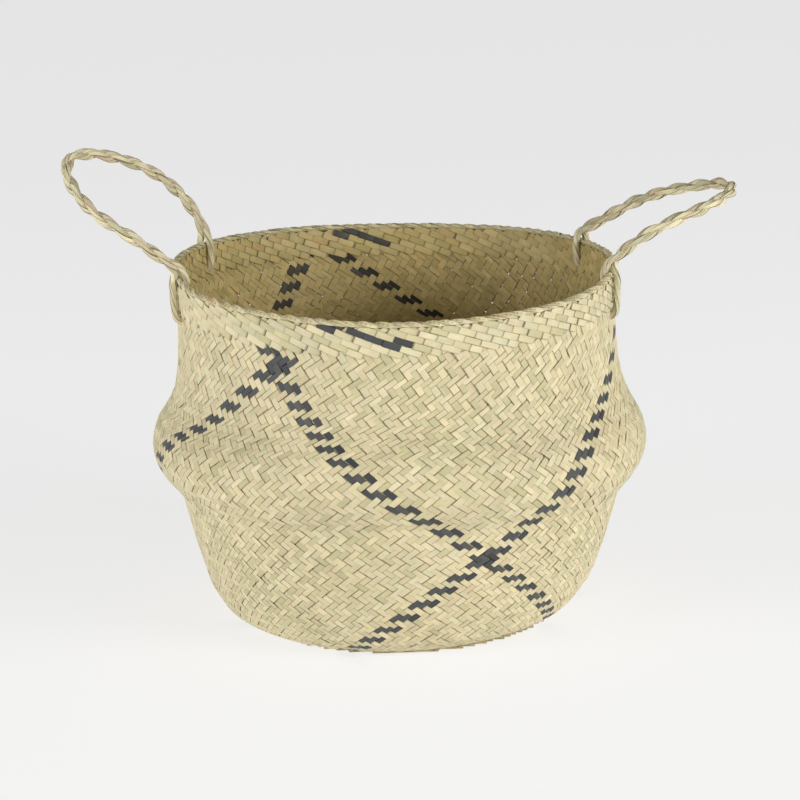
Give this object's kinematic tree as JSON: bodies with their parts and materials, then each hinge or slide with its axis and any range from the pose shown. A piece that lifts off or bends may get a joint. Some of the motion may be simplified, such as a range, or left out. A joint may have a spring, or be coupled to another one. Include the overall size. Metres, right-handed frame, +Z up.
{
  "type": "woven market basket",
  "caption": "Round plaited seagrass belly basket with a folded waist, a turned-over rim, a dark crossing-line pattern and two twisted rope handles.",
  "frame": {"origin": "centre of the flat woven bottom, on the surface that the basket stands on", "axes": "+Z up along the basket's axis; the handles are near -X and +X, and -Y is the front"},
  "size_m": [0.5591, 0.42, 0.4026],
  "materials": {
    "plaited_straw": "dry plaited seagrass, matte with a faint sheen along each strip",
    "dyed_straw": "charcoal dyed seagrass strips, matte",
    "rim_straw": "turned-over strips and plaited edge",
    "twisted_rope": "two-strand twisted seagrass rope, fibrous"
  },
  "bodies": {
    "lower_half": {"woven_base": "plaited_straw", "lower_wall": "plaited_straw"},
    "upper_half": {"belly": "plaited_straw", "upper_wall": "plaited_straw", "rim_band_outer": "rim_straw", "rim_band_inner": "rim_straw", "plaited_edge": "rim_straw", "left_front_strand_loop": "twisted_rope", "left_back_strand_loop": "twisted_rope", "right_front_strand_loop": "twisted_rope", "right_back_strand_loop": "twisted_rope"},
    "left_handle": {"left_handle_rope": "twisted_rope"},
    "right_handle": {"right_handle_rope": "twisted_rope"}
  },
  "joints": [
    {"name": "belly_fold", "type": "slide", "parent": "lower_half", "child": "upper_half", "axis": [0, 0, 1], "range_m": [-0.045, 0.03]},
    {"name": "left_handle_swing", "type": "hinge", "parent": "upper_half", "child": "left_handle", "pos_m": [-0.1681, 0.01693, 0.30349], "axis": [0.1002, 0.995, 0], "range_deg": [-64, 120]},
    {"name": "right_handle_swing", "type": "hinge", "parent": "upper_half", "child": "right_handle", "pos_m": [0.17004, 0.01937, 0.30349], "axis": [0.1132, -0.9936, 0], "range_deg": [-52, 146]}
  ]
}
